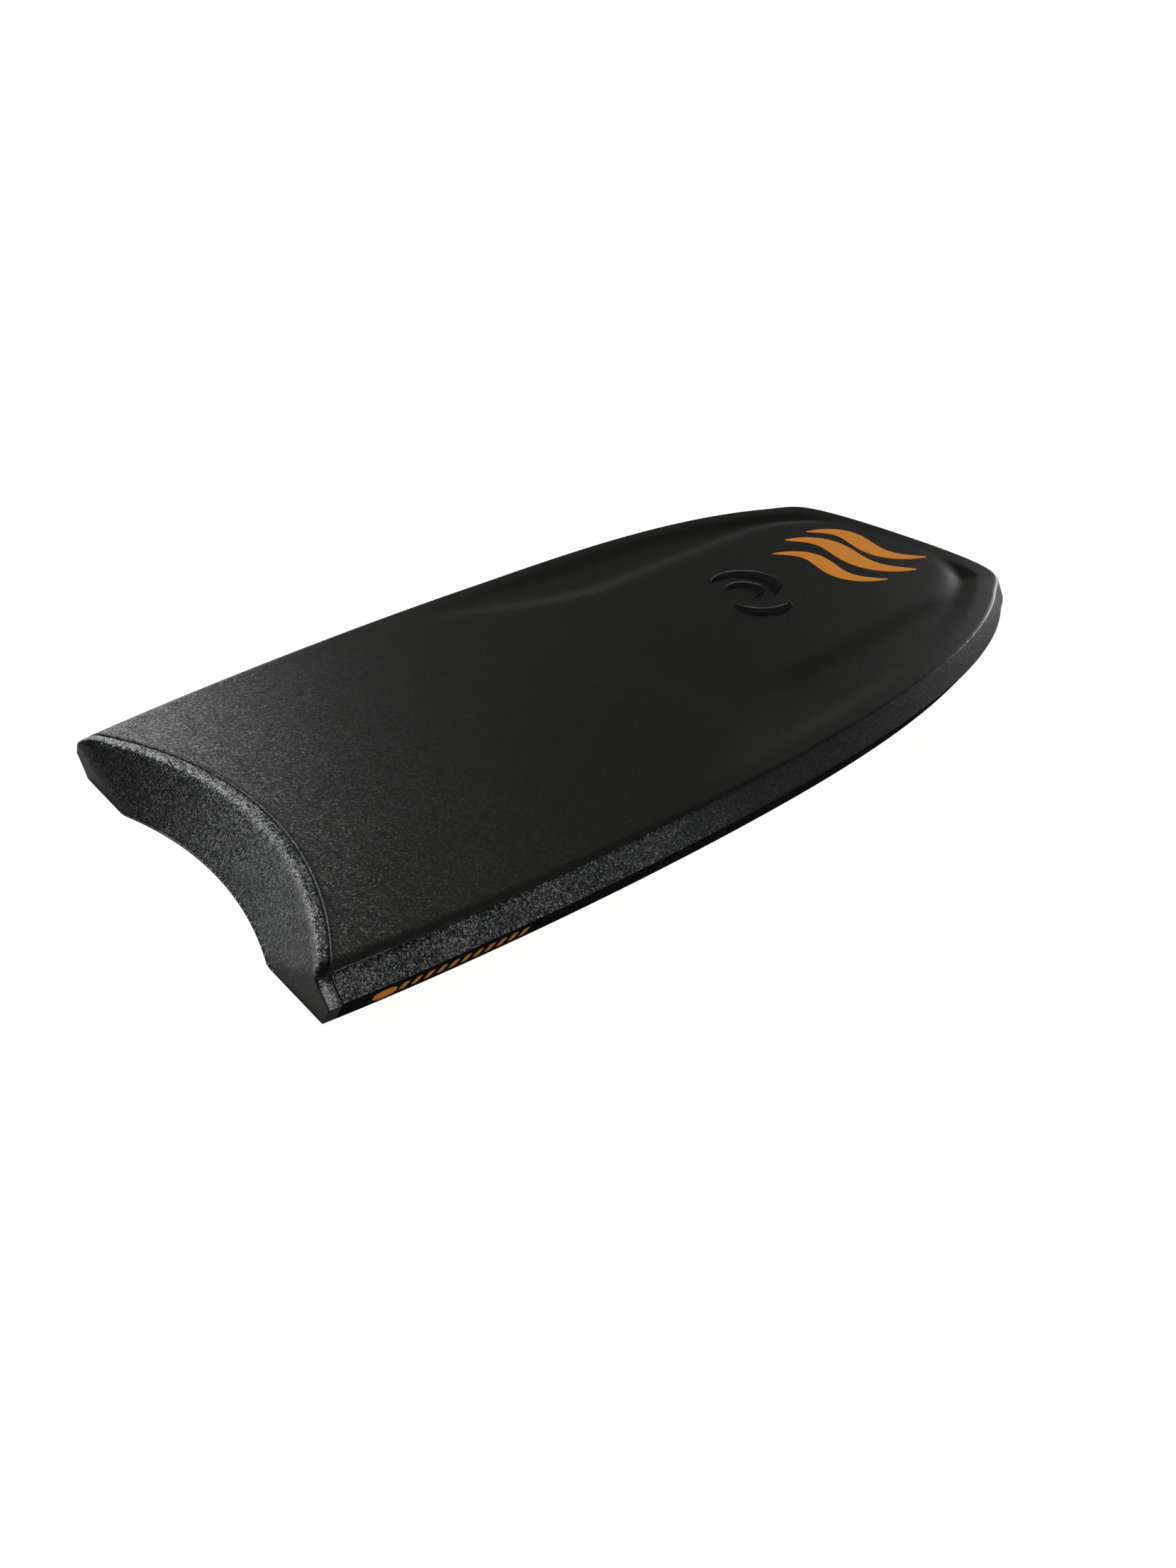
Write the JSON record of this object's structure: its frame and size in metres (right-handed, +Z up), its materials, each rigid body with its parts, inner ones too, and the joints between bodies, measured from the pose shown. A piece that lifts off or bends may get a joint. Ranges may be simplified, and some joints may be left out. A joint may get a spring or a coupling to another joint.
{
  "type": "bodyboard",
  "caption": "Prone bodyboard with a crescent tail, contoured deck, chined rails and a slick bottom, built from laminated foam layers and carbon stringers.",
  "frame": {"origin": "on the floor plane under the middle of the board's length and width, at the flat of the slick bottom", "axes": "+Y from tail to nose, +Z up out of the deck, +X towards the rider's right rail; the board is its own mirror image about X = 0"},
  "size_m": [0.5728, 1.0669, 0.0615],
  "materials": {
    "bead_foam": "matte",
    "deck_foam": "matte",
    "rail_foam": "matte",
    "edge_foam": "matte",
    "contact_foam": "matte",
    "net": "matte",
    "slick": "gloss",
    "carbon": "satin",
    "cap_plastic": "matte",
    "print_ink": "satin",
    "gloss_film": "gloss"
  },
  "bodies": {
    "root": {"core": "bead_foam", "deck_mesh": "net", "deck_skin": "deck_foam", "contact_foam": "contact_foam", "bottom_mesh": "net", "slick_skin": "slick", "lower_rail_left": "edge_foam", "lower_rail_right": "edge_foam", "nose_bumper_lower": "edge_foam", "upper_rail_left": "rail_foam", "upper_rail_right": "rail_foam", "nose_bumper_upper": "rail_foam", "tail_bumper": "rail_foam", "stringer_tube_left": "carbon", "stringer_tube_right": "carbon", "stringer_cap_rear_left": "cap_plastic", "stringer_cap_rear_right": "cap_plastic", "stringer_cap_front_left": "cap_plastic", "stringer_cap_front_right": "cap_plastic", "bore_plug_left": "bead_foam", "bore_plug_right": "bead_foam"}
  },
  "joints": []
}
